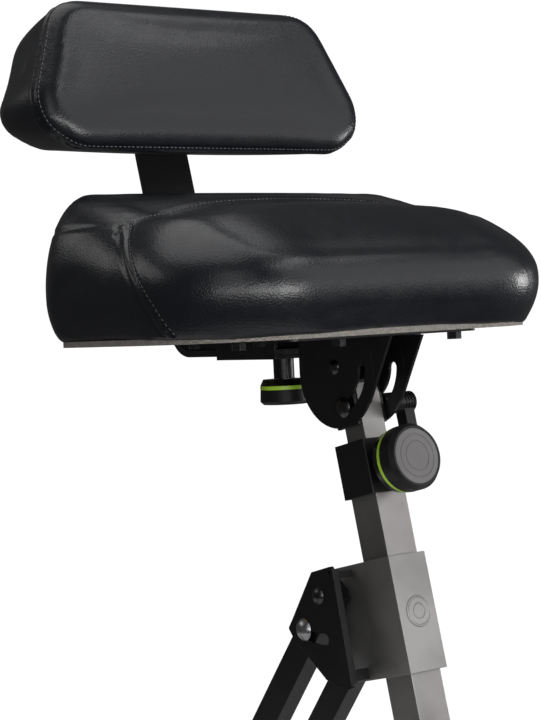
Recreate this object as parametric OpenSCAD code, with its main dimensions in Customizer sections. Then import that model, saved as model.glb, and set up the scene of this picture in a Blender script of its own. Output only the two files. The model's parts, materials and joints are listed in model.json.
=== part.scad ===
// Folding performer's stool (drum throne): padded seat and backrest on a clamped sliding post.
// Millimetres. Origin at the bottom centre on the floor, +Z up, the sitter faces -Y.

/* [Stand] */
// Lean of the main tube from vertical, degrees
tube_lean = 17.2; // [14:0.1:20]
// Splay of the rear legs from vertical, degrees
leg_splay = 33.6; // [30:0.1:36]
// Height of the post reference point (mouth of the height sleeve) above the floor
ref_h = 465; // [440:1:500]
// Outer size of the square main tube
tube_o = 35; // [30:1:40]
// Outer size of the square sliding post
post_o = 26; // [22:1:27]
// Full width of the floor bars over their tubes
foot_w = 420; // [360:10:480]

/* [Seat] */
// Backward tilt of the seat at rest, degrees
seat_tilt = 4.5; // [0:0.5:8]
// Half of the seat width at the widest line
seat_hw = 219; // [200:1:230]
// Radius of the front corners of the seat
seat_rf = 110; // [80:1:130]

/* [Backrest] */
// Lean of the backrest from vertical, degrees
back_lean = 19; // [12:1:22]
// Half of the backrest width at the widest line
back_hw = 198; // [170:1:210]

/* [Knobs] */
// Diameter of the height knob grip
knob_d = 60; // [50:1:62]
// Diameter of the backrest knob grip
bknob_d = 48; // [40:1:50]

/* [Hidden] */
$fn = 48;
y0 = -99.3;                // shifts the stand so that its box is centred
piv_y = 25.5;             // origin of the seat frame, in the reference frame
piv_z = 61.9;
pv_y = -2.1;              // tilt pivot in the seat frame
pv_w = 2.7;
// the same pivot in the tube frame
pw_y = piv_y + pv_y * cos(seat_tilt) + pv_w * sin(seat_tilt);
pw_z = piv_z - pv_y * sin(seat_tilt) + pv_w * cos(seat_tilt);
pt_y = pw_y * cos(tube_lean) - pw_z * sin(tube_lean);
pt_w = pw_y * sin(tube_lean) + pw_z * cos(tube_lean);
cb_y = 1;                 // clamp bolt in the tube frame
cb_w = 30.4;
hinge_y = 8.5;            // leg hinge in the reference frame
hinge_z = -140.5;
hp_y = hinge_y * cos(tube_lean) - hinge_z * sin(tube_lean);   // hinge pin, tube frame
hp_w = hinge_y * sin(tube_lean) + hinge_z * cos(tube_lean);
sl_t = -2.6;              // top of the height sleeve along the tube
kn_w = -28.2;             // height knob axis along the tube
bar_z = 18;               // height of the floor bar centres
bar_r = 16;
cap_r = 20;
fz = ref_h;
foot_u = (ref_h - bar_z) / cos(tube_lean);
leg_off = 4.9;            // leg centreline in front of the hinge pin
leg_l = (ref_h + hinge_z - bar_z - leg_off * sin(leg_splay)) / cos(leg_splay);
leg_x = 38.5;
leg_wx = 18.2;
leg_wy = 27.4;
rest_u = 277;             // top of the footrest sleeve
slot_r = sqrt(pow(cb_y - pt_y, 2) + pow(cb_w - pt_w, 2));
lock_r = 39.9;            // hinge to lock pin
lock_a = -60.5;           // direction of the lock pin from the hinge
lock_sw = 45;             // sweep of the lock slot

// frames ------------------------------------------------------------
module tubef() translate([0, y0, fz]) rotate([-tube_lean, 0, 0]) children();
module hingef() translate([0, y0 + hinge_y, fz + hinge_z]) children();
module legf() hingef() rotate([leg_splay, 0, 0]) children();
module seatf() translate([0, y0 + piv_y, fz + piv_z]) rotate([-seat_tilt, 0, 0]) children();

// helpers -----------------------------------------------------------
module box(x0, x1, ya, yb, za, zb) translate([x0, ya, za]) cube([x1 - x0, yb - ya, zb - za]);
module xcyl(r, x0, x1) translate([x0, 0, 0]) rotate([0, 90, 0]) cylinder(r = r, h = x1 - x0);
module ycyl(r, ya, yb) translate([0, yb, 0]) rotate([90, 0, 0]) cylinder(r = r, h = yb - ya);
module sqtube(o, w, za, zb) difference() {
  box(-o / 2, o / 2, -o / 2, o / 2, za, zb);
  box(-o / 2 + w, o / 2 - w, -o / 2 + w, o / 2 - w, za - 1, zb + 1);
}
module rbox(x0, x1, ya, yb, za, zb, r) translate([0, 0, za]) linear_extrude(zb - za)
  rsq(x0, x1, ya, yb, r);
module rsq(x0, x1, ya, yb, r) {
  translate([x0 + r, ya]) square([x1 - x0 - 2 * r, yb - ya]);
  translate([x0, ya + r]) square([x1 - x0, yb - ya - 2 * r]);
  for (x = [x0 + r, x1 - r]) for (y = [ya + r, yb - r]) translate([x, y]) circle(r);
}

// stand -------------------------------------------------------------
module main_tube() color("#1b1b1d") difference() {
  tubef() sqtube(tube_o, 1.75, -foot_u, sl_t - 3);
  tubef() translate([0, 0, -foot_u]) xcyl(bar_r + 0.02, -40, 40);
  tubef() translate([0, 0, kn_w]) ycyl(7, -30, 0);
}
module tube_bush() color("#101012") tubef() difference() {
  union() {
    box(-15.7, 15.7, -15.7, 15.7, -50, sl_t - 3);
    box(-17.45, 17.45, -17.45, 17.45, sl_t - 3, sl_t);
  }
  box(-13.05, 13.05, -13.05, 13.05, -52, 6);
  translate([0, 0, kn_w]) ycyl(7, -30, 0);
}
module height_sleeve() color("#141416") tubef() difference() {
  rbox(-23.3, 23.3, -20.9, 20.9, -52.3, sl_t, 1.6);
  box(-17.5, 17.5, -17.5, 17.5, -53, 3);
  translate([0, 0, kn_w]) ycyl(7, -30, 0);
}
module sleeve_boss() color("#141416") tubef() translate([0, 0, kn_w]) difference() {
  ycyl(14, -33, -20.9);
  ycyl(5.05, -34, -20);
}
module collar_block() color("#2a2a2d") tubef() difference() {
  box(-23, 25, -24, 58, -215, -110);
  box(-17.5, 17.5, -17.5, 17.5, -216, -109);
  translate([25, -24, -160]) rotate([0, 0, 45]) cube([7.6, 7.6, 120], center = true);
  translate([0, hp_y, hp_w]) xcyl(5.02, -30, 30);
  translate([0, 0, -162]) ycyl(14.1, -26, -23.3);
  box(-19, 19, 21.5, 43, -216, -139);
}
module collar_badge() color("#3a3a3d") tubef() translate([0, 0, -162]) difference() {
  ycyl(14, -24.3, -23.3);
  difference() {
    ycyl(12.6, -26, -24.0);
    ycyl(11.9, -26, -23.9);
  }
  difference() {
    ycyl(7.2, -26, -24.0);
    ycyl(6.2, -26, -23.9);
  }
}
module dome(a, h, s) {
  rr = (a * a + h * h) / (2 * h);
  intersection() {
    translate([s * (h - rr), 0, 0]) sphere(rr, $fn = 96);
    xcyl(a, s > 0 ? 0 : -h - 1, s > 0 ? h + 1 : 0);
  }
}
module cheek(x, lip_x) hingef() rotate([90, 0, 90]) union() {
  translate([0, 0, x]) linear_extrude(3) difference() {
    cheek_outline();
    circle(5.05);
    lock_slot();
    translate([-8 - hinge_y, -117 - hinge_z]) circle(2.2);
  }
  translate([0, 0, lip_x]) linear_extrude(7) cheek_lip();
}
// the front edge of each cheek is folded inwards
module cheek_lip() translate([-hinge_y, -hinge_z]) polygon([[-11.8, -114.8], [-8.9, -115.6],
  [-36, -213.2], [-38.85, -212.4]]);
module cheek_outline() offset(r = 2.5, $fn = 32) offset(delta = -2.5)
  polygon([for (p = [[18, -120.5], [-10.5, -110.5], [-40, -217.5], [-19, -219.5],
    [-4, -215.5], [43.5, -186], [51, -178], [46, -170]]) [p[0] - hinge_y, p[1] - hinge_z]]);
module lock_slot() {
  difference() {
    circle(lock_r + 5.3);
    circle(lock_r - 5.3);
    rotate(lock_a) translate([-100, 0]) square([200, 100]);
    rotate(lock_a - lock_sw) translate([-100, -100]) square([200, 100]);
  }
  rotate(lock_a) translate([lock_r, 0]) circle(5.22);
  rotate(lock_a - lock_sw) translate([lock_r, 0]) circle(5.22);
}
module hinge_cheek_left() color("#161618") cheek(48.1, 44.1);
module hinge_cheek_right() color("#161618") cheek(-51.1, -51.1);
module hinge_wings() color("#161618") tubef() for (s = [-1, 1]) {
  translate([s * 36.55, 0, 0]) box(-11.55, 11.55, 27, 33, -120, -114.5);
  translate([s * 36.55, 0, 0]) box(-11.55, 11.55, 30, 35, -213, -203);
}
module hinge_pivot() color("#2c2c30") hingef() union() {
  xcyl(5, -51.1, 51.1);
  for (s = [-1, 1]) translate([s * 51.1, 0, 0]) dome(8, 4, s);
}
module floor_bar(w) difference() {
  xcyl(bar_r, -w / 2, w / 2);
  xcyl(bar_r - 2, -w / 2 - 1, w / 2 + 1);
}
module floor_cap(s) difference() {
  translate([s * (foot_w / 2 - 10), 0, 0]) union() {
    xcyl(cap_r, -16, 16);
    translate([s * 17.5, 0, 0]) xcyl(cap_r - 2.5, -1.5, 1.5);
  }
  xcyl(bar_r + 0.02, s > 0 ? 0 : -foot_w / 2, s > 0 ? foot_w / 2 : 0);
  translate([0, 0, -bar_z - 10]) cube([600, 60, 20], center = true);
}
module frontf() translate([0, y0 - foot_u * sin(tube_lean), bar_z]) children();
module rearf() translate([0, y0 + hinge_y - leg_off * cos(leg_splay)
  + leg_l * sin(leg_splay), bar_z]) children();
module front_floor_bar() color("#1b1b1d") frontf() floor_bar(foot_w);
module front_cap_left() color("#0c0c0d") frontf() floor_cap(1);
module front_cap_right() color("#0c0c0d") frontf() floor_cap(-1);
module rear_floor_bar() color("#1b1b1d") rearf() floor_bar(foot_w);
module rear_cap_left() color("#0c0c0d") rearf() floor_cap(1);
module rear_cap_right() color("#0c0c0d") rearf() floor_cap(-1);

// rear legs ---------------------------------------------------------
module leg(x) color("#1b1b1d") difference() {
  legf() difference() {
    union() {
      box(x - leg_wx / 2, x + leg_wx / 2, -leg_off - leg_wy / 2, -leg_off + leg_wy / 2,
        -leg_l, 10);
      box(x - leg_wx / 2, x + leg_wx / 2, -leg_off - 9, -leg_off + leg_wy / 2, 9, 14);
    }
    box(x - leg_wx / 2 + 1.5, x + leg_wx / 2 - 1.5, -leg_off - leg_wy / 2 + 1.5,
      -leg_off + leg_wy / 2 - 1.5, -leg_l - 5, 9);
    xcyl(5.05, x - 20, x + 20);
  }
  rearf() xcyl(bar_r + 0.02, x - 20, x + 20);
  hingef() rotate([lock_a, 0, 0]) translate([0, lock_r, 0]) xcyl(4.52, x - 20, x + 20);
}
module leg_left() leg(leg_x);
module leg_right() leg(-leg_x);
module lock_pin() color("#8d8d92") hingef() rotate([lock_a, 0, 0]) translate([0, lock_r, 0])
  for (s = [-1, 1]) union() {
    translate([s * 40.55, 0, 0]) xcyl(4.5, -10.95, 10.95);
    translate([s * 51.5, 0, 0]) dome(10.5, 5.5, s);
  }
module leg_brace() color("#1b1b1d") legf() translate([0, -leg_off, -250])
  box(-29.4, 29.4, -6, 6, -10, 10);

// sliding post ------------------------------------------------------
module post_tube() color("#202023") tubef() difference() {
  sqtube(post_o, 2, -300, 50);
  translate([0, cb_y, cb_w]) xcyl(4.05, -30, 30);
}
module post_glide() color("#0f0f10") tubef() difference() {
  box(-15.6, 15.6, -15.6, 15.6, -318, -300);
  box(-9, 9, -9, 9, -319, -306);
}
module post_head() color("#18181a") tubef() difference() {
  for (s = [-1, 1]) translate([s * 15, 0, 0]) union() {
    box(-2, 2, pt_y - 15, pt_y + 15, 12, pt_w);
    translate([0, pt_y, pt_w]) xcyl(15, -2, 2);
  }
  translate([0, pt_y, pt_w]) xcyl(5.05, -30, 30);
  translate([0, cb_y, cb_w]) xcyl(4.05, -30, 30);
}
module post_cap() color("#101012") tubef() box(-13, 13, -13, 13, 50, 53);
module clamp_bolt() color("#6f6f75") tubef() translate([0, cb_y, cb_w]) union() {
  xcyl(4, -22, 34);
  translate([-20.7, 0, 0]) dome(9.5, 4, -1);
}

// seat carrier ------------------------------------------------------
module tilt_cheek(x) seatf() translate([x, 0, 0]) rotate([90, 0, 90])
  linear_extrude(3) difference() {
    union() {
      translate([-4, -2]) circle(52);
      polygon([[-49, -30], [-81, 29], [48, 29], [48, -2]]);
    }
    translate([-120, 29]) square([240, 60]);
    translate([pv_y, pv_w]) circle(5.05);
    translate([pv_y, pv_w]) tilt_slot();
  }
module tilt_slot() {
  difference() {
    circle(slot_r + 5);
    circle(slot_r - 5);
    rotate(tilt_a0) translate([-100, 0]) square([200, 100]);
    rotate(tilt_a0 - tilt_sw) translate([-100, -100]) square([200, 100]);
  }
  rotate(tilt_a0) translate([slot_r, 0]) circle(4.93);
  rotate(tilt_a0 - tilt_sw) translate([slot_r, 0]) circle(4.93);
}
// bolt direction seen from the pivot in the seat frame, and the sweep of the arc slot
tilt_a0 = atan2(cb_w - pt_w, cb_y - pt_y) - (tube_lean - seat_tilt);
tilt_sw = 70;
module tilt_cheek_left() color("#141416") tilt_cheek(17.3);
module tilt_cheek_right() color("#141416") tilt_cheek(-20.3);
module pivot_bolt() color("#2c2c30") seatf() translate([0, pv_y, pv_w]) union() {
  xcyl(5, -20.3, 20.3);
  for (s = [-1, 1]) translate([s * 20.3, 0, 0]) dome(7, 3, s);
}
module mount_plate() color("#141416") seatf() difference() {
  rbox(-112, 112, -56, 65.9, 29, 33, 8);
  for (x = [-45, 45, 96]) translate([x, -40, 20]) cylinder(r = 4.05, h = 20);
  for (x = [-96, 96]) translate([x, 40, 20]) cylinder(r = 4.05, h = 20);
}
channel_bolts = [[46, 74], [46, 103], [55, 165]];
module bar_channel() color("#121214") seatf() difference() {
  union() {
    box(-34.3, 34.3, 66, 158, 10.7, 33);
    box(-68, 68, 66.5, 174, 30, 33);
  }
  box(-31.1, 31.1, 65, 176, 13.9, 34);
  translate([0, 97, 5]) cylinder(r = 5.05, h = 10);
  for (s = [-1, 1]) for (p = channel_bolts) translate([s * p[0], p[1], 20])
    cylinder(r = 3.05, h = 20);
}
module channel_boss() color("#121214") seatf() translate([0, 97, 0]) difference() {
  translate([0, 0, -8.6]) cylinder(r = 10, h = 19.3);
  translate([0, 0, -13]) cylinder(r = 5.05, h = 26);
}
module seat_plan(e, f = 0) hull() for (s = [-1, 1]) {
  translate([s * (seat_hw - seat_rf), -86 + seat_rf - f]) circle(seat_rf - e, $fn = 96);
  translate([s * (seat_hw - 58), 200 - 58]) circle(58 - e, $fn = 96);
}
module seat_board() color("#b08a5a") seatf() difference() {
  translate([0, 0, 33]) linear_extrude(12) seat_plan(22);
  for (x = [-45, 45, 96]) translate([x, -40, 30]) cylinder(r = 4.05, h = 10);
  for (x = [-96, 96]) translate([x, 40, 30]) cylinder(r = 4.05, h = 10);
  for (s = [-1, 1]) for (p = channel_bolts) translate([s * p[0], p[1], 30])
    cylinder(r = 3.05, h = 10);
}
module seat_cushion() color("#131315") seatf() difference() {
  union() {
    hull() {
      translate([0, 0, 37]) linear_extrude(1) seat_plan(9);
      translate([0, 0, 62]) linear_extrude(34) seat_plan(-4, 5);
      for (s = [-1, 1]) {
        translate([s * 146, 136, 114]) sphere(54, $fn = 32);
        translate([s * 150, 5, 106]) sphere(44, $fn = 32);
        translate([s * 126, -34, 94]) sphere(44, $fn = 32);
      }
    }
    translate([0, 0, 33]) linear_extrude(5) seat_plan(12.3);
  }
  translate([0, 0, 32]) linear_extrude(13.02) seat_plan(21.9);
}
module seat_trim() color("#55575a") seatf() difference() {
  translate([0, 0, 31.5]) linear_extrude(5.4) seat_plan(9.6);
  translate([0, 0, 31]) linear_extrude(7) seat_plan(12.25);
}
module hexbolt(r, h, l) {
  translate([0, 0, -h]) cylinder(r = r, h = h, $fn = 6);
  cylinder(r = r * 0.5, h = l);
}
module seat_bolts() color("#1e1e20") seatf() {
  for (x = [-45, 45, 96]) translate([x, -40, 29]) hexbolt(7, 7, 10);
  for (x = [-96, 96]) translate([x, 40, 29]) hexbolt(7, 7, 10);
  for (s = [-1, 1]) for (p = channel_bolts) translate([s * p[0], p[1], 30]) hexbolt(6, 7, 9);
}

// backrest ----------------------------------------------------------
bar_y = 208;               // start of the bend, measured back from the pivot
bar_w = 45.95;
bar_up = back_lean - seat_tilt;
plan_s = 215;              // height of the backrest plan centre along the bar
back_bolt_z = [222, 246];
module barf() seatf() translate([0, bar_y, bar_w]) rotate([-bar_up, 0, 0]) children();
module bar_profile() polygon(concat(
  [[68, 13.95]],
  [for (k = [0:16]) let (a = -90 + k * (90 - bar_up) / 16)
    [bar_y + 32 * cos(a), bar_w + 32 * sin(a)]],
  [for (r = [32, 26]) [bar_y + r * cos(bar_up) + 258 * sin(bar_up),
    bar_w - r * sin(bar_up) + 258 * cos(bar_up)]],
  [for (k = [16:-1:0]) let (a = -90 + k * (90 - bar_up) / 16)
    [bar_y + 26 * cos(a), bar_w + 26 * sin(a)]],
  [[68, 19.95]]));
module back_bar() color("#17171a") difference() {
  seatf() translate([-30.8, 0, 0]) rotate([90, 0, 90]) linear_extrude(61.6) bar_profile();
  for (z = back_bolt_z) for (s = [-1, 1]) barf() translate([s * 16, 29, z]) ycyl(3.05, -9, 9);
}
module back_plan(e) offset(r = 34 - e) offset(delta = -34)
  polygon([[-158, 98], [158, 98], [back_hw, -2], [192, -32], [160, -53], [-160, -53],
    [-192, -32], [-back_hw, -2]]);
// the back face is shorter than the front, so the underside runs level
module rear_plan(e) offset(r = 30 - e) offset(delta = -30)
  polygon([[-156, 96], [156, 96], [back_hw - 2, 14], [188, -10], [156, -28], [-156, -28],
    [-188, -10], [2 - back_hw, 14]]);
module back_slab(e, y, t) translate([0, y, plan_s]) rotate([90, 0, 0]) linear_extrude(t)
  back_plan(e);
module rear_slab(e, y, t) translate([0, y, plan_s]) rotate([90, 0, 0]) linear_extrude(t)
  rear_plan(e);
module back_board() color("#b08a5a") difference() {
  barf() rear_slab(22, 25.95, 12);
  for (z = back_bolt_z) for (s = [-1, 1]) barf() translate([s * 16, 29, z]) ycyl(3.05, -20, 9);
}
module back_cushion() color("#131315") barf() difference() {
  hull() {
    rear_slab(12, 25.95, 2);
    rear_slab(0, 10, 2);
    back_slab(0, -50, 5);
    back_slab(12, -65, 2);
    back_slab(40, -74, 2);
  }
  rear_slab(21.8, 27, 13.1);
}
module back_bolts() color("#1e1e20") barf() for (z = back_bolt_z) for (s = [-1, 1])
  translate([s * 16, 32, z]) rotate([-90, 0, 0]) {
    cylinder(r = 5.5, h = 3.5);
    translate([0, 0, -15]) cylinder(r = 3, h = 15);
  }

// knobs -------------------------------------------------------------
module knobf() tubef() translate([0, 0, kn_w]) children();
module restf() tubef() translate([0, 0, -rest_u]) children();
module grip(d, ya, yb) difference() {
  union() {
    ycyl(d / 2, ya + 4.5, yb);
    translate([0, ya + 4.5, 0]) rotate([90, 0, 0]) cylinder(r1 = d / 2, r2 = d / 2 - 3, h = 4.5);
  }
  ycyl(d / 2 - 5, ya - 1, ya + 1.2);
}
module knob_stem(d, tip) union() {
  ycyl(d / 2 - 2, -41, -33.6);
  ycyl(5, -34, tip);
}
module knob_face(d) difference() {
  ycyl(d / 2 - 5.05, -61.6, -60.8);
  difference() {
    ycyl(d / 2 - 10, -63, -61.3);
    ycyl(d / 2 - 11.5, -63, -61.2);
  }
  difference() {
    ycyl(d / 2 - 16, -63, -61.3);
    ycyl(d / 2 - 17.5, -63, -61.2);
  }
}
module height_knob() color("#131315") knobf() grip(knob_d, -62, -45.2);
module height_ring() color("#7cc21e") knobf() ycyl(knob_d / 2 - 0.5, -45.2, -41);
module height_face() color("#5b5d60") knobf() knob_face(knob_d);
module height_screw() color("#1c1c1f") knobf() knob_stem(knob_d, -14);
module rknobf() restf() translate([0, 0, -25]) children();
module rest_knob() color("#131315") rknobf() grip(knob_d, -62, -45.2);
module rest_ring() color("#7cc21e") rknobf() ycyl(knob_d / 2 - 0.5, -45.2, -41);
module rest_face() color("#5b5d60") rknobf() knob_face(knob_d);
module rest_screw() color("#1c1c1f") rknobf() knob_stem(knob_d, -18);
module sknobf() seatf() translate([0, 97, 0]) children();
module slide_knob() color("#131315") sknobf() union() {
  translate([0, 0, -33.4]) cylinder(r1 = bknob_d / 2 - 3, r2 = bknob_d / 2, h = 3);
  translate([0, 0, -30.4]) cylinder(r1 = bknob_d / 2, r2 = bknob_d / 2 - 0.6, h = 11.4);
}
module slide_ring() color("#7cc21e") sknobf() translate([0, 0, -19])
  cylinder(r = bknob_d / 2 - 0.5, h = 3.8);
module slide_screw() color("#1c1c1f") sknobf() union() {
  translate([0, 0, -15.2]) cylinder(r1 = bknob_d / 2 - 0.6, r2 = bknob_d / 2 - 3.4, h = 5.9);
  translate([0, 0, -9.4]) cylinder(r = 5, h = 22.8);
}

// tilt lever --------------------------------------------------------
module leverf() tubef() translate([0, cb_y, cb_w]) children();
module tilt_lever() color("#18181a") leverf() difference() {
  union() {
    xcyl(10, 24, 47);
    for (i = [0:3]) {
      translate([48.6 + i * 3.5, 0, 0]) xcyl(9, -1.8, 0.2);
      translate([50.3 + i * 3.5, 0, 0]) xcyl(10, -1.7, 0);
    }
    box(47, 58.6, -6.5, 6.5, -36, 0);
  }
  xcyl(4.05, 20, 44);
}
module lever_grip() color("#0f0f10") leverf() translate([52.8, 0, 0]) union() {
  box(-6.8, 6.8, -8, 8, -64, -36);
  translate([0, 0, -64]) xcyl(8, -6.8, 6.8);
}

// footrest ----------------------------------------------------------
module rest_sleeve() color("#141416") restf() difference() {
  union() {
    rbox(-21.3, 21.3, -21.3, 21.3, -84, 0, 3);
    translate([0, 0, -25]) ycyl(14, -33, -20);
  }
  box(-17.55, 17.55, -17.55, 17.55, -85, 1);
  translate([0, 0, -25]) ycyl(5.05, -40, 0);
}
module rest_arms() color("#141416") restf() difference() {
  for (s = [-1, 1]) translate([s * 23.8, 0, 0]) box(-2.5, 2.5, -55, 14, -89, -57);
  translate([0, -38, -73]) xcyl(11.02, -40, 40);
}
module rest_bar() color("#1b1b1d") restf() translate([0, -38, -73]) difference() {
  xcyl(11, -150, 150);
  xcyl(9, -151, 151);
}
module rest_grip(s) color("#0c0c0d") restf() translate([0, -38, -73]) difference() {
  translate([s * 105, 0, 0]) xcyl(14, -50, 50);
  xcyl(11.02, s > 0 ? 0 : -150, s > 0 ? 150 : 0);
}
module rest_grip_left() rest_grip(1);
module rest_grip_right() rest_grip(-1);

main_tube();
tube_bush();
height_sleeve();
sleeve_boss();
collar_block();
collar_badge();
hinge_cheek_left();
hinge_cheek_right();
hinge_wings();
hinge_pivot();
front_floor_bar();
front_cap_left();
front_cap_right();
leg_left();
leg_right();
rear_floor_bar();
rear_cap_left();
rear_cap_right();
lock_pin();
leg_brace();
post_tube();
post_glide();
post_head();
post_cap();
clamp_bolt();
tilt_cheek_left();
tilt_cheek_right();
pivot_bolt();
mount_plate();
bar_channel();
channel_boss();
seat_board();
seat_cushion();
seat_trim();
seat_bolts();
back_bar();
back_board();
back_cushion();
back_bolts();
height_knob();
height_ring();
height_face();
height_screw();
rest_knob();
rest_ring();
rest_face();
rest_screw();
slide_knob();
slide_ring();
slide_screw();
tilt_lever();
lever_grip();
rest_sleeve();
rest_arms();
rest_bar();
rest_grip_left();
rest_grip_right();
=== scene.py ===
import bpy, bmesh, json, math
import numpy as np
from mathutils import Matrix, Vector
from mathutils.bvhtree import BVHTree
from mathutils.kdtree import KDTree


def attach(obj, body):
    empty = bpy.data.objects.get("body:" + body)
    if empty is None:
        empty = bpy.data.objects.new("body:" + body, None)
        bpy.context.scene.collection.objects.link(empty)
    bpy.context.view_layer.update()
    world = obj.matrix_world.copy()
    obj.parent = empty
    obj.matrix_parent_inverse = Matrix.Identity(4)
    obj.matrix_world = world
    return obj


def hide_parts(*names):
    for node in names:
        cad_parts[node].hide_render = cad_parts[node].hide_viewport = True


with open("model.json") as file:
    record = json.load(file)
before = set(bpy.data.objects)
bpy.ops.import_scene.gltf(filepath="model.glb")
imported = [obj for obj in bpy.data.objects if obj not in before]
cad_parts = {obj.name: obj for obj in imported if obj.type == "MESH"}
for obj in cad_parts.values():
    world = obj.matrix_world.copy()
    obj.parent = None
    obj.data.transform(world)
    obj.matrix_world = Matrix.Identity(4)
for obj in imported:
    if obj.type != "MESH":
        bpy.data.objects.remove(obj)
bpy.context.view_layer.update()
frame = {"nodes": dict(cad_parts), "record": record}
NODES = frame["nodes"]

# ---------------------------------------------------------------- frames
# Points are given in millimetres in a piece's own frame and come out in metres.
Y0, FZ = -99.3, 465.0             # shift of the stand, and its reference point over the floor
TILT = math.radians(4.5)          # backward tilt of the seat
LEAN = math.radians(19.0)         # lean of the backrest
SEAT_Y, SEAT_Z = 25.5, 61.9       # origin of the seat frame, from the reference point
BAR_FOOT = (0, 208, 45.95)        # foot of the backrest bar's upright, in the seat frame


def seat_w(p):
    x, y, w = p
    return Vector((x, Y0 + SEAT_Y + y * math.cos(TILT) + w * math.sin(TILT),
                   FZ + SEAT_Z - y * math.sin(TILT) + w * math.cos(TILT))) / 1000


BAR_O = seat_w(BAR_FOOT)


def bar_w(p):
    x, y, s = p[0] / 1000, p[1] / 1000, p[2] / 1000
    return Vector((x, BAR_O.y + y * math.cos(LEAN) + s * math.sin(LEAN),
                   BAR_O.z - y * math.sin(LEAN) + s * math.cos(LEAN)))


# ---------------------------------------------------------------- camera
CAM_X, CAM_Y, CAM_Z = -1153, -1327, 227       # mm from the reference point of the stand
CAM_TURN, CAM_DROP = math.radians(38.11), math.radians(5.06)
LENS, SENSOR = 97.0, 36.0

cam = bpy.data.objects.new("camera", bpy.data.cameras.new("camera"))
bpy.context.scene.collection.objects.link(cam)
cam.location = (CAM_X / 1000, (CAM_Y + Y0) / 1000, (CAM_Z + FZ) / 1000)
fwd = Vector((math.sin(CAM_TURN) * math.cos(CAM_DROP), math.cos(CAM_TURN) * math.cos(CAM_DROP),
              -math.sin(CAM_DROP)))
cam.rotation_mode = "QUATERNION"
cam.rotation_quaternion = fwd.to_track_quat("-Z", "Y")
cam.data.lens = LENS
cam.data.sensor_width = SENSOR
cam.data.clip_start, cam.data.clip_end = 0.05, 60
bpy.context.scene.camera = cam


# ---------------------------------------------------------------- materials
def new_mat(name):
    m = bpy.data.materials.new(name)
    m.use_nodes = True
    nt = m.node_tree
    nt.nodes.clear()
    out = nt.nodes.new("ShaderNodeOutputMaterial")
    b = nt.nodes.new("ShaderNodeBsdfPrincipled")
    nt.links.new(b.outputs[0], out.inputs[0])
    return m, nt, b


def coords(nt, scale=(1, 1, 1)):
    tc = nt.nodes.new("ShaderNodeTexCoord")
    mp = nt.nodes.new("ShaderNodeMapping")
    mp.inputs["Scale"].default_value = scale
    nt.links.new(tc.outputs["Object"], mp.inputs["Vector"])
    return mp.outputs["Vector"]


def noise(nt, vec, scale, detail=3.0, rough=0.5):
    n = nt.nodes.new("ShaderNodeTexNoise")
    n.inputs["Scale"].default_value = scale
    n.inputs["Detail"].default_value = detail
    n.inputs["Roughness"].default_value = rough
    nt.links.new(vec, n.inputs["Vector"])
    return n.outputs["Fac"]


def remap(nt, fac, lo, hi, a=0.3, b=0.7):
    r = nt.nodes.new("ShaderNodeMapRange")
    r.inputs["From Min"].default_value = a
    r.inputs["From Max"].default_value = b
    r.inputs["To Min"].default_value = lo
    r.inputs["To Max"].default_value = hi
    nt.links.new(fac, r.inputs["Value"])
    return r.outputs["Result"]


def ramp(nt, fac, c0, c1, p0=0.35, p1=0.65):
    r = nt.nodes.new("ShaderNodeValToRGB")
    r.color_ramp.elements[0].position = p0
    r.color_ramp.elements[1].position = p1
    r.color_ramp.elements[0].color = (*c0, 1)
    r.color_ramp.elements[1].color = (*c1, 1)
    nt.links.new(fac, r.inputs["Fac"])
    return r.outputs["Color"]


def bump(nt, b, height, strength, dist, prev=None):
    n = nt.nodes.new("ShaderNodeBump")
    n.inputs["Strength"].default_value = strength
    n.inputs["Distance"].default_value = dist
    nt.links.new(height, n.inputs["Height"])
    if prev is not None:
        nt.links.new(prev, n.inputs["Normal"])
    nt.links.new(n.outputs["Normal"], b.inputs["Normal"])
    return n.outputs["Normal"]


def leather(name, c0, c1, r0, r1):
    m, nt, b = new_mat(name)
    v = coords(nt)
    nt.links.new(ramp(nt, noise(nt, v, 9, 4), c0, c1), b.inputs["Base Color"])
    nt.links.new(remap(nt, noise(nt, v, 60, 4, 0.6), r0, r1), b.inputs["Roughness"])
    b.inputs["Specular IOR Level"].default_value = 0.5
    b.inputs["Coat Weight"].default_value = 0.12
    b.inputs["Coat Roughness"].default_value = 0.22
    vo = nt.nodes.new("ShaderNodeTexVoronoi")
    vo.feature = "SMOOTH_F1"
    vo.inputs["Scale"].default_value = 560
    vo.inputs["Smoothness"].default_value = 0.6
    nt.links.new(v, vo.inputs["Vector"])
    n1 = bump(nt, b, vo.outputs["Distance"], 0.42, 0.0004)
    n2 = bump(nt, b, noise(nt, v, 1400, 2), 0.10, 0.0002, n1)
    bump(nt, b, noise(nt, v, 30, 2), 0.05, 0.002, n2)
    return m


def paint(name, col, r0, r1, grain=900.0, strength=0.10, metallic=0.0, spec=0.5,
          edge=0.0007):
    """Coated or moulded surface: roughness from r0 to r1, fine grain, edges rounded by edge."""
    m, nt, b = new_mat(name)
    bev = nt.nodes.new("ShaderNodeBevel")
    bev.samples = 4
    bev.inputs["Radius"].default_value = edge
    v = coords(nt)
    c1 = tuple(min(1, c * 1.35 + 0.002) for c in col)
    nt.links.new(ramp(nt, noise(nt, v, 14, 4), col, c1), b.inputs["Base Color"])
    nt.links.new(remap(nt, noise(nt, v, 45, 5, 0.6), r0, r1), b.inputs["Roughness"])
    b.inputs["Metallic"].default_value = metallic
    b.inputs["Specular IOR Level"].default_value = spec
    n1 = bump(nt, b, noise(nt, v, grain, 2), strength, 0.0004, bev.outputs[0])
    bump(nt, b, noise(nt, v, 90, 2), strength * 0.5, 0.001, n1)
    return m


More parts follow.
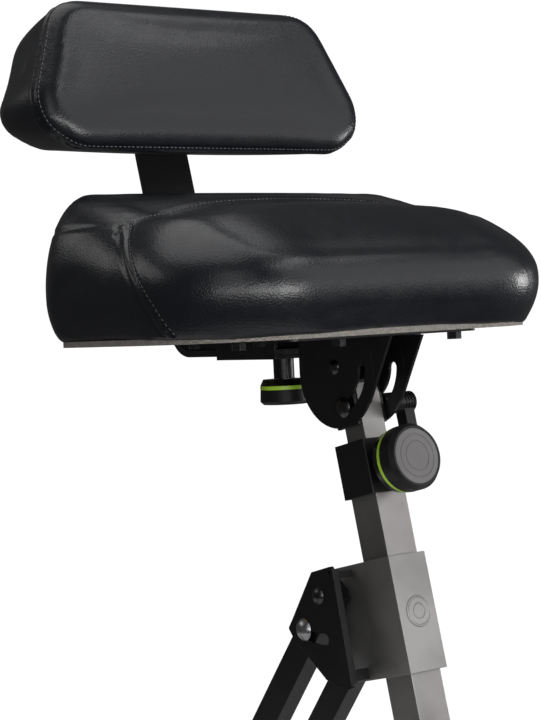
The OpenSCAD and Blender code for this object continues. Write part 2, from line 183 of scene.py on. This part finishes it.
def steel(name, col, rough):
    m, nt, b = new_mat(name)
    v = coords(nt, (1, 6, 6))
    dark = tuple(c * 0.7 for c in col)
    nt.links.new(ramp(nt, noise(nt, v, 60, 4), dark, col), b.inputs["Base Color"])
    nt.links.new(remap(nt, noise(nt, v, 200, 4), rough * 0.7, rough * 1.3), b.inputs["Roughness"])
    b.inputs["Metallic"].default_value = 1.0
    bump(nt, b, noise(nt, v, 700, 2), 0.08, 0.0003)
    return m


def weave(name, c0, c1):
    m, nt, b = new_mat(name)
    v = coords(nt)
    ch = nt.nodes.new("ShaderNodeTexChecker")
    ch.inputs["Scale"].default_value = 700
    ch.inputs["Color1"].default_value = (*c0, 1)
    ch.inputs["Color2"].default_value = (*c1, 1)
    nt.links.new(v, ch.inputs["Vector"])
    mx = nt.nodes.new("ShaderNodeMix")
    mx.data_type = "RGBA"
    mx.blend_type = "MULTIPLY"
    mx.inputs["Factor"].default_value = 0.5
    nt.links.new(ch.outputs["Color"], mx.inputs["A"])
    nt.links.new(ramp(nt, noise(nt, v, 300, 3), (0.35, 0.35, 0.35), (1, 1, 1)), mx.inputs["B"])
    nt.links.new(mx.outputs["Result"], b.inputs["Base Color"])
    b.inputs["Roughness"].default_value = 0.85
    bump(nt, b, ch.outputs["Fac"], 0.4, 0.0005)
    return m


def wood(name):
    m, nt, b = new_mat(name)
    v = coords(nt, (1.5, 14, 14))
    grain = ramp(nt, noise(nt, v, 12, 5, 0.6), (0.30, 0.18, 0.09), (0.55, 0.38, 0.22))
    nt.links.new(grain, b.inputs["Base Color"])
    b.inputs["Roughness"].default_value = 0.7
    bump(nt, b, noise(nt, v, 60, 4), 0.25, 0.0006)
    return m


M = {
    "powder": paint("powder_black", (0.006, 0.006, 0.0065), 0.30, 0.38, 1300, 0.08, 0.0, 0.35),
    "tube": paint("tube_satin_black", (0.27, 0.26, 0.255), 0.34, 0.42, 1400, 0.06, 0.95, 0.5,
                  0.0012),
    "collar": paint("collar_black", (0.27, 0.262, 0.256), 0.38, 0.48, 900, 0.16, 0.78, 0.5,
                    0.0010),
    "plastic": paint("plastic_black", (0.009, 0.009, 0.010), 0.40, 0.50, 800, 0.12, 0.0, 0.30),
    "rubber": paint("rubber_black", (0.010, 0.010, 0.010), 0.62, 0.75, 500, 0.2, 0.0, 0.3),
    "ring": paint("ring_green", (0.46, 0.86, 0.05), 0.30, 0.40, 600, 0.04),
    "face": paint("face_grey", (0.13, 0.125, 0.125), 0.42, 0.55, 900, 0.14, 0.0, 0.5),
    "bolt": steel("bolt_black", (0.10, 0.10, 0.105), 0.26),
    "pin": steel("pin_steel", (0.45, 0.45, 0.47), 0.28),
    "trim": weave("trim_weave", (0.42, 0.39, 0.35), (0.20, 0.185, 0.165)),
    "wood": wood("board_ply"),
    "leather": leather("upholstery", (0.0045, 0.0054, 0.0082), (0.0070, 0.0082, 0.0118),
                       0.28, 0.36),
    "thread": paint("thread_grey", (0.16, 0.16, 0.17), 0.5, 0.65, 2500, 0.3),
}
SLOT_MAT = {"powder_black": "powder", "post_black": "tube", "collar_black": "collar",
            "cushion_skin": "leather", "trim_grey": "trim", "board_wood": "wood",
            "bolt_black": "bolt", "pin_steel": "pin", "rubber_black": "rubber",
            "plastic_black": "plastic", "ring_green": "ring", "face_grey": "face"}
for part in frame["record"]["subparts"]:
    ob = NODES[part["node"]]
    ob.data.materials.clear()
    key = "tube" if part["node"] == "main_tube" else SLOT_MAT[part["material_slot"]]
    ob.data.materials.append(M[key])


# ---------------------------------------------------------------- mesh helpers
def make(name, verts, faces, mat):
    me = bpy.data.meshes.new(name)
    me.from_pydata([tuple(v) for v in verts], [], faces)
    me.update()
    o = bpy.data.objects.new(name, me)
    bpy.context.scene.collection.objects.link(o)
    me.materials.append(mat)
    for p in me.polygons:
        p.use_smooth = True
    return o


def skin_tree(o):
    """Search tree of the mesh of o as it is now."""
    bm = bmesh.new()
    bm.from_mesh(o.data)
    tree = BVHTree.FromBMesh(bm)
    bm.free()
    return tree


def rrect(e, hw, ya, yb, rf, rb, nc=22, ns=26):
    """Rounded rectangle, offset inwards by e, front corners rf and back corners rb."""
    hw, ya, yb = hw - e, ya + e, yb - e
    rf, rb = max(rf - e, 6.0), max(rb - e, 6.0)
    pts = []

    def arc(cx, cy, r, a0):
        for i in range(nc):
            a = math.radians(a0 + 90 * i / nc)
            pts.append((cx + r * math.cos(a), cy + r * math.sin(a)))

    def line(a, b):
        for i in range(ns):
            pts.append((a[0] + (b[0] - a[0]) * i / ns, a[1] + (b[1] - a[1]) * i / ns))
    arc(hw - rf, ya + rf, rf, -90)
    line((hw, ya + rf), (hw, yb - rb))
    arc(hw - rb, yb - rb, rb, 0)
    line((hw - rb, yb), (-hw + rb, yb))
    arc(-hw + rb, yb - rb, rb, 90)
    line((-hw, yb - rb), (-hw, ya + rf))
    arc(-hw + rf, ya + rf, rf, 180)
    line((-hw + rf, ya), (hw - rf, ya))
    return pts


def rings_to_mesh(name, rings, mat, to_world):
    n = len(rings[0])
    verts = [to_world(p) for r in rings for p in r]
    faces = []
    for k in range(len(rings) - 1):
        for i in range(n):
            j = (i + 1) % n
            faces.append((k * n + i, k * n + j, (k + 1) * n + j, (k + 1) * n + i))
    faces.append(tuple(range(n))[::-1])
    faces.append(tuple((len(rings) - 1) * n + i for i in range(n)))
    return make(name, verts, faces, mat)


def apply_mods(o):
    dg = bpy.context.evaluated_depsgraph_get()
    me = bpy.data.meshes.new_from_object(o.evaluated_get(dg))
    old = o.data
    o.modifiers.clear()
    o.data = me
    bpy.data.meshes.remove(old)
    for p in o.data.polygons:
        p.use_smooth = True


def remesh(o, voxel):
    m = o.modifiers.new("remesh", "REMESH")
    m.mode = "VOXEL"
    m.voxel_size = voxel
    m.use_smooth_shade = True
    s = o.modifiers.new("smooth", "SMOOTH")
    s.factor = 0.5
    s.iterations = 4
    apply_mods(o)


CLOTH_FRAMES = 20
MOVED = 0.0002                    # a point that the cloth run moves less than this stays put


def relax(field, a, b, deg, times):
    """Averages a value per vertex with its neighbours along the edges a-b."""
    for _ in range(times):
        acc = np.bincount(a, field[b], len(field)) + np.bincount(b, field[a], len(field))
        field = 0.5 * field + 0.5 * acc / np.maximum(deg, 1)
    return field


def inflate(o, pressure, cap, pinned):
    """Cloth run: the skin swells under pressure; points move at most cap; pinned(co) stay.
    Only the smooth part of the swelling is kept, with its mean taken out."""
    rest = [v.co.copy() for v in o.data.vertices]
    g = o.vertex_groups.new(name="pin")
    for v in o.data.vertices:
        w = pinned(v.co)
        if w > 0:
            g.add([v.index], w, "REPLACE")
    c = o.modifiers.new("cloth", "CLOTH")
    s = c.settings
    s.quality = 5
    s.mass = 0.4
    s.use_pressure = True
    s.uniform_pressure_force = pressure
    s.tension_stiffness = s.compression_stiffness = 22
    s.shear_stiffness = 12
    s.bending_stiffness = 2.5
    s.effector_weights.gravity = 0
    s.vertex_group_mass = "pin"
    c.point_cache.frame_start, c.point_cache.frame_end = 1, CLOTH_FRAMES
    sc = bpy.context.scene
    for f in range(1, CLOTH_FRAMES + 1):
        sc.frame_set(f)
    apply_mods(o)
    sc.frame_set(1)
    me = o.data
    n = len(me.vertices)
    r0 = np.array([tuple(r) for r in rest])
    now = np.empty(n * 3)
    me.vertices.foreach_get("co", now)
    nrm = np.empty(n * 3)
    me.vertices.foreach_get("normal", nrm)
    e = np.empty(len(me.edges) * 2, dtype=np.int32)
    me.edges.foreach_get("vertices", e)
    a, b = e[0::2], e[1::2]
    deg = np.bincount(a, minlength=n) + np.bincount(b, minlength=n)
    nrm = nrm.reshape(-1, 3)
    raw = ((now.reshape(-1, 3) - r0) * nrm).sum(1)
    low = relax(raw, a, b, deg, 34)
    fine = relax(raw, a, b, deg, 4)
    swollen = low[low > 2 * MOVED]
    mean = swollen.mean() if len(swollen) else 0.0
    d = 0.35 * (low - mean) + 0.05 * (fine - low)
    d = np.where(low > MOVED, np.clip(d, -cap, cap), 0)
    d = relax(d, a, b, deg, 6)
    me.vertices.foreach_set("co", (r0 + nrm * d[:, None]).ravel())
    me.update()
    o.vertex_groups.clear()


def subdiv(o):
    m = o.modifiers.new("sub", "SUBSURF")
    m.levels = m.render_levels = 1
    apply_mods(o)


def groove(o, paths, depth, width, ridge):
    """Sinks the skin along seam paths (world points), with a small swell on both sides."""
    kd = KDTree(sum(len(p) for p in paths))
    for i, q in enumerate(q for p in paths for q in p):
        kd.insert(q, i)
    kd.balance()
    me = o.data
    nrm = [v.normal.copy() for v in me.vertices]
    for v in me.vertices:
        _, _, d = kd.find(v.co)
        if d < width * 3:
            u = d / width
            swell = ridge * math.exp(-((u - 1.7) ** 2) * 2)
            v.co -= nrm[v.index] * (depth * math.exp(-u * u) - swell)
    me.update()


def dense(points, step=0.0012):
    out = []
    for a, b in zip(points[:-1], points[1:]):
        n = max(1, int((b - a).length / step))
        out += [a.lerp(b, k / n) for k in range(n)]
    return out + [points[-1]]


def spline(points, closed=False, step=6):
    """Catmull-Rom through the points."""
    n = len(points)
    out = []
    for i in range(n if closed else n - 1):
        g = lambda k: points[(i + k) % n] if closed else points[min(max(i + k, 0), n - 1)]
        p0, p1, p2, p3 = g(-1), g(0), g(1), g(2)
        for s in range(step):
            t = s / step
            out.append(0.5 * ((2 * p1) + (p2 - p0) * t + (2 * p0 - 5 * p1 + 4 * p2 - p3) * t * t
                              + (3 * p1 - p0 - 3 * p2 + p3) * t * t * t))
    if not closed:
        out.append(points[-1])
    return out


STITCH, STITCH_GAP = 0.0034, 0.0016
THREAD_R, THREAD_LIFT = 0.00042, 0.0001
ROWS, SIDES = 5, 6                # cross sections along a stitch, and corners of each


def stitches(name, o, paths):
    """A row of thread stitches lying on the skin of o along each path."""
    tree = skin_tree(o)
    verts, faces = [], []
    for path in paths:
        pts = dense(path, 0.0004)
        seg = [0.0]
        for a, b in zip(pts[:-1], pts[1:]):
            seg.append(seg[-1] + (b - a).length)
        s = 0.0

        def at(d):
            j = int(np.searchsorted(seg, d))
            return pts[min(j, len(pts) - 1)]
        while s + STITCH < seg[-1]:
            rows = []
            for q in range(ROWS):
                d = s + STITCH * q / (ROWS - 1)
                p = at(d)
                t = (at(d + 0.001) - at(d - 0.001))
                if t.length < 1e-7:
                    break
                t.normalize()
                loc, nn, _, _ = tree.find_nearest(p)
                if loc is None:
                    break
                h = math.sin(math.pi * q / (ROWS - 1))
                rr = THREAD_R * (0.45 + 0.55 * h ** 0.5)
                c = loc + nn * (THREAD_LIFT + THREAD_R * 0.7 * h - THREAD_R * 0.35)
                side = t.cross(nn).normalized()
                rows.append([c + side * (rr * math.cos(a)) + nn * (rr * math.sin(a))
                             for a in (2 * math.pi * k / SIDES for k in range(SIDES))])
            if len(rows) == ROWS:
                b0 = len(verts)
                for row in rows:
                    verts += row
                for i in range(ROWS - 1):
                    r0, r1 = b0 + i * SIDES, b0 + (i + 1) * SIDES
                    for j in range(SIDES):
                        j2 = (j + 1) % SIDES
                        faces.append((r0 + j, r0 + j2, r1 + j2, r1 + j))
                faces.append(tuple(b0 + j for j in range(SIDES))[::-1])
                faces.append(tuple(b0 + (ROWS - 1) * SIDES + j for j in range(SIDES)))
            s += STITCH + STITCH_GAP
    return make(name, verts, faces, M["thread"])


def on_skin(o, pts):
    tree = skin_tree(o)
    return [tree.find_nearest(p)[0] for p in pts]


# ---------------------------------------------------------------- seat cushion
HW, YA, YB, RF, RB = 223.0, -94.0, 203.0, 112.0, 60.0    # widest line
BASE = (219.0, -86.0, 200.0, 110.0, 58.0)                  # board edge line


def top_h(x, y):
    """Height of the top surface before the edges roll over: a low front lobe, then a
    ramp behind the cross seam up to the rear rim."""
    lobe = 151.5 - 3.6 * (x / 112.0) ** 2
    s = min(1.0, max(0.0, (y - 62) / 103.0))
    return lobe + (175.7 - lobe) * s ** 0.75


def edge_r(x, y):
    """Roll-over radius: long at the front, short at the sides and back."""
    f = 1 / (1 + math.exp((y + 8) / 16.0))
    return 50.0 + 62.0 * f


HEM = ((60, 33), (10, 33), (7.6, 33.6), (6.4, 36.5), (4.4, 41), (2.6, 48), (1.2, 56),
       (0.3, 64), (0, 72), (0, 80))    # inset and height, from the underside up the wall
ROLL_W = 80                       # height where the edge starts to roll over
INNER = 60                        # inset where the roll-over rings end


def skin_h(x, y):
    """Height of the leather: the top surface, brought down to ROLL_W at the edge."""
    u = min(1.0, max(0.0, edge_dist(x, y) / edge_r(x, y)))
    corner = min(1.0, max(0.0, (abs(x) - 90) / 90.0))
    p = 2.0 - 0.42 * (1 - 0.8 * corner) / (1 + math.exp((y + 8) / 16.0))
    return ROLL_W + (top_h(x, y) - ROLL_W) * (1 - (1 - u) ** p) ** (1 / p)


def seat_rings():
    rings = []
    for e, w in HEM:
        b = min(1.0, max(0.0, (w - 40) / 28.0)) ** 0.7
        g = [p + (q - p) * b for p, q in zip(BASE, (HW, YA, YB, RF, RB))]
        up = 2.8 if w < 34 else 1.6 if w < 37 else 0
        rings.append([(x, y, w + up * min(1, max(0, (y + 60) / 200))) for x, y in rrect(e, *g)])
    for k in range(1, 27):
        u = k / 26
        e = INNER * (1 - math.cos(u * math.pi / 2)) if u < 1 else INNER
        rings.append([(x, y, skin_h(x, y)) for x, y in rrect(e, HW, YA, YB, RF, RB)])
    for k in range(1, 9):
        f = k / 8.5
        ring = []
        for (x, y) in rrect(INNER, HW, YA, YB, RF, RB):
            sx, sy = max(-90, min(90, x * 0.6)), 57
            mx, my = x + (sx - x) * f, y + (sy - y) * f
            ring.append((mx, my, skin_h(mx, my)))
        rings.append(ring)
    return rings


def edge_dist(x, y):
    """Distance inwards from the plan outline."""
    x = abs(x)
    d = min(HW - x, y - YA, YB - y)
    cx, cy = HW - RF, YA + RF
    if x > cx and y < cy:
        d = RF - math.hypot(x - cx, y - cy)
    cx, cy = HW - RB, YB - RB
    if x > cx and y > cy:
        d = RB - math.hypot(x - cx, y - cy)
    return d


seat = rings_to_mesh("seat_pad", seat_rings(), M["leather"], seat_w)
remesh(seat, 0.005)
seat_o = seat_w((0, 0, 0))
seat_up = Vector((0, math.sin(TILT), math.cos(TILT)))
inflate(seat, 3.5, 0.005, lambda c: 1.0 if (c - seat_o).dot(seat_up) < 0.040 else 0.0)
subdiv(seat)

# seams: down each side from the top of the shoulder, and round the back of the seat well
SIDE_SEAM = ((68, 141), (32, 111), (0, 81), (-14.5, 40))   # Bezier points: depth, height
SHOULDER = ((70, 140), (95, 139), (125, 139), (155, 138), (175, 136))
STITCH_OFF, SOFT_OFF = -2.6, 10.0    # the stitches and the soft fold run beside the seam
seams, soft, stitch_paths = [], [], []
tree = skin_tree(seat)


def bezier(p0, p1, p2, p3, n=8):
    out = []
    for t in (k / n for k in range(n + 1)):
        c = ((1 - t) ** 3, 3 * t * (1 - t) ** 2, 3 * t * t * (1 - t), t ** 3)
        out.append(tuple(sum(k * p[i] for k, p in zip(c, (p0, p1, p2, p3))) for i in (0, 1)))
    return out


def side_line(s, pts, off=0.0):
    """The points of a line across the side of the seat that land on its skin; s is the side."""
    hits = []
    for y, w in pts:
        a, b = seat_w((s * 300, y + off, w)), seat_w((0, y + off, w))
        hits.append(tree.ray_cast(a, (b - a).normalized())[0])
    return spline([p for p in hits if p is not None])


def top_line(pts, off=0.0):
    hits = [tree.ray_cast(seat_w((x, y + off, 300)), -seat_up)[0] for x, y in pts]
    return spline([p for p in hits if p is not None])


well = [(-204, 68), (-150, 71), (-80, 75), (0, 77), (80, 75), (150, 71), (204, 68)]
side_path = bezier(*SIDE_SEAM)
for s in (-1, 1):
    seams.append(dense(side_line(s, side_path)))
    soft.append(dense(side_line(s, side_path, SOFT_OFF)))
    soft.append(dense(side_line(s, SHOULDER)))
    stitch_paths.append(side_line(s, side_path, STITCH_OFF))
seams.append(dense(top_line(well)))
stitch_paths.append(top_line(well, -3))
groove(seat, seams, 0.0022, 0.0022, 0.0006)
groove(seat, soft, 0.0008, 0.0026, 0.0002)
seat_st = stitches("seat_stitching", seat, [on_skin(seat, p) for p in stitch_paths])
for o in (seat, seat_st):
    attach(o, "seat")
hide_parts("seat_cushion")

# ---------------------------------------------------------------- backrest
PLAN = [(-158, 100), (158, 100), (198, -2), (192, -32), (160, -53), (-160, -53), (-192, -32),
        (-198, -2)]


def round_poly(pts, r, nc=12, ns=14):
    """Rounded polygon as a fixed number of points."""
    n = len(pts)
    out = []
    P = [Vector(p) for p in pts]
    for i in range(n):
        a, b, c = P[i - 1], P[i], P[(i + 1) % n]
        u, v = (a - b).normalized(), (c - b).normalized()
        ang = math.acos(max(-1, min(1, u.dot(v))))
        t = min(r / math.tan(ang / 2), 0.48 * (a - b).length, 0.48 * (c - b).length)
        s, e = b + u * t, b + v * t
        for k in range(nc):
            f = k / nc
            out.append(s.lerp(b, f).lerp(b.lerp(e, f), f))
        nb = P[(i + 1) % n]
        nn = P[(i + 2) % n]
        u2, v2 = (b - nb).normalized(), (nn - nb).normalized()
        ang2 = math.acos(max(-1, min(1, u2.dot(v2))))
        t2 = min(r / math.tan(ang2 / 2), 0.48 * (b - nb).length, 0.48 * (nn - nb).length)
        s2 = nb + u2 * t2
        for k in range(ns):
            out.append(e.lerp(s2, k / ns))
    return out


outline = round_poly(PLAN, 46)
cen = Vector((0, 18))
FRONT, REAR = -54.5, 25.8


def inset(e):
    """Offset of the outline inwards by e, by vertex normals."""
    n = len(outline)
    res = []
    for i in range(n):
        t = (outline[(i + 2) % n] - outline[i - 2]).normalized()
        nrm = Vector((t.y, -t.x))
        if nrm.dot(cen - outline[i]) < 0:
            nrm = -nrm
        res.append(outline[i] + nrm * e)
    return res


def lift(q, y):
    """The underside runs level, so the outline's lower half rises towards the back."""
    k = min(1.0, max(0.0, (y - FRONT) / (REAR - FRONT)))
    f = min(1.0, max(0.0, (60 - q) / 110.0))
    return q + 25.0 * k * f * f * (3 - 2 * f) - 3.0 * k * (1 - f)


def back_pt(p, y):
    return (p.x, y, 215 + lift(p.y, y))


ROLL_R, ROLL_D = 27.0, 19.0       # roll of the front edge: across the face, and forwards
DISH = 2.6                        # how far the middle of the face stands forward


def back_rings():
    rings = []
    rows = [(30, REAR), (16, REAR), (9, 23), (5, 17), (2.5, 8), (0.8, -8), (0, -26), (0, -42),
            (0.2, FRONT)]
    for e, y in rows:
        rings.append([back_pt(p, y) for p in inset(e)])
    for k in range(1, 13):
        u = k / 12
        e = ROLL_R * (1 - math.cos(u * math.pi / 2)) * 0.98 + 0.2
        d = ROLL_D * (math.sin(u * math.pi / 2) ** 0.9)
        rings.append([(p.x, FRONT - d, 215 + p.y) for p in inset(e)])
    base = inset(ROLL_R)
    for k in range(1, 9):
        f = k / 8.5
        ring = []
        for p in base:
            q = Vector((p.x * 0.4, 12 + (p.y - 12) * 0.25))
            s = p.lerp(q, f)
            ring.append((s.x, FRONT - ROLL_D - DISH * math.sin(f * math.pi / 2), 215 + s.y))
        rings.append(ring)
    return rings


back = rings_to_mesh("backrest_pad", back_rings(), M["leather"], bar_w)
remesh(back, 0.0045)
bar_back = Vector((0, math.cos(LEAN), -math.sin(LEAN)))
inflate(back, 3.0, 0.004, lambda c: 1.0 if (c - BAR_O).dot(bar_back) > 0.018 else 0.0)
subdiv(back)


def back_line(e, y):
    return [bar_w(back_pt(p, y)) for p in inset(e)]


edge = dense(spline(on_skin(back, back_line(0, FRONT)), closed=True))
edge2 = dense(spline(on_skin(back, back_line(6, 22)), closed=True))
groove(back, [edge], 0.0024, 0.0022, 0.0010)
groove(back, [edge2], 0.0014, 0.0020, 0.0004)
line1 = spline(on_skin(back, back_line(2.2, FRONT - 7)), closed=True)
back_st = stitches("backrest_stitching", back, [line1 + line1[:1]])
for o in (back, back_st):
    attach(o, "backrest")
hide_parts("back_cushion")


# ---------------------------------------------------------------- studio
bpy.context.scene.view_settings.view_transform = "Standard"


def box_light(name, at, direction, dist, sx, sy, radiance):
    """Soft box seen from the point at along direction, with the given brightness."""
    light = bpy.data.lights.new(name, "AREA")
    light.shape = "RECTANGLE"
    light.size, light.size_y = sx, sy
    light.energy = radiance * math.pi * sx * sy
    o = bpy.data.objects.new(name, light)
    bpy.context.scene.collection.objects.link(o)
    at, d = Vector(at), Vector(direction).normalized()
    o.location = at + d * dist
    o.rotation_mode = "QUATERNION"
    o.rotation_quaternion = (at - (at + d * dist)).to_track_quat("-Z", "Y")


box_light("key", (-0.12, -0.12, 0.70), (0.60, -0.70, 0.36), 2.3, 2.6, 2.0, 0.85)
box_light("band", (-0.70, -0.15, 0.72), (0.45, -0.89, -0.05), 2.2, 1.0, 0.30, 9.5)
box_light("band_front", (-0.20, -0.15, 0.71), (-0.10, -0.99, -0.04), 2.3, 1.5, 0.30, 9.0)
box_light("band_left", (-0.20, -0.15, 0.71), (-0.62, -0.78, -0.04), 2.3, 1.6, 0.30, 5.0)
box_light("strip", (-0.36, -0.15, 0.65), (0.50, -0.36, 0.78), 2.0, 1.55, 0.40, 2.6)
box_light("left", (-0.20, -0.10, 0.75), (-0.62, -0.66, 0.42), 2.2, 1.1, 1.5, 0.8)
box_light("rear_left", (-0.20, 0.0, 0.65), (-0.66, 0.65, 0.42), 2.2, 1.6, 0.60, 1.3)
box_light("right", (0.18, -0.17, 0.61), (0.95, -0.30, -0.02), 2.0, 0.55, 0.45, 12.0)
box_light("top", (0.0, 0.05, 0.7), (-0.10, 0.25, 1.0), 2.2, 2.4, 2.2, 1.25)

FLOOR_R, FLOOR_SIDES = 0.58, 180
floor_me = bpy.data.meshes.new("floor")
floor_me.from_pydata([(FLOOR_R * math.cos(a), FLOOR_R * math.sin(a), 0)
                      for a in (2 * math.pi * k / FLOOR_SIDES for k in range(FLOOR_SIDES))],
                     [], [tuple(range(FLOOR_SIDES))])
floor = bpy.data.objects.new("floor", floor_me)
bpy.context.scene.collection.objects.link(floor)
fm, _, fb = new_mat("floor_pale")
fb.inputs["Base Color"].default_value = (0.92, 0.92, 0.92, 1)
fb.inputs["Roughness"].default_value = 0.9
floor_me.materials.append(fm)

# the camera sees a white background; the object is lit by it only faintly
w = bpy.data.worlds.new("studio")
bpy.context.scene.world = w
w.use_nodes = True
bg = w.node_tree.nodes["Background"]
bg.inputs[0].default_value = (1, 1, 1, 1)
bg.inputs[1].default_value = 0.07
bg2 = w.node_tree.nodes.new("ShaderNodeBackground")
bg2.inputs[0].default_value = (1, 1, 1, 1)
bg2.inputs[1].default_value = 1.05
lp = w.node_tree.nodes.new("ShaderNodeLightPath")
mixw = w.node_tree.nodes.new("ShaderNodeMixShader")
w.node_tree.links.new(lp.outputs["Is Camera Ray"], mixw.inputs[0])
w.node_tree.links.new(bg.outputs[0], mixw.inputs[1])
w.node_tree.links.new(bg2.outputs[0], mixw.inputs[2])
w.node_tree.links.new(mixw.outputs[0], w.node_tree.nodes["World Output"].inputs[0])
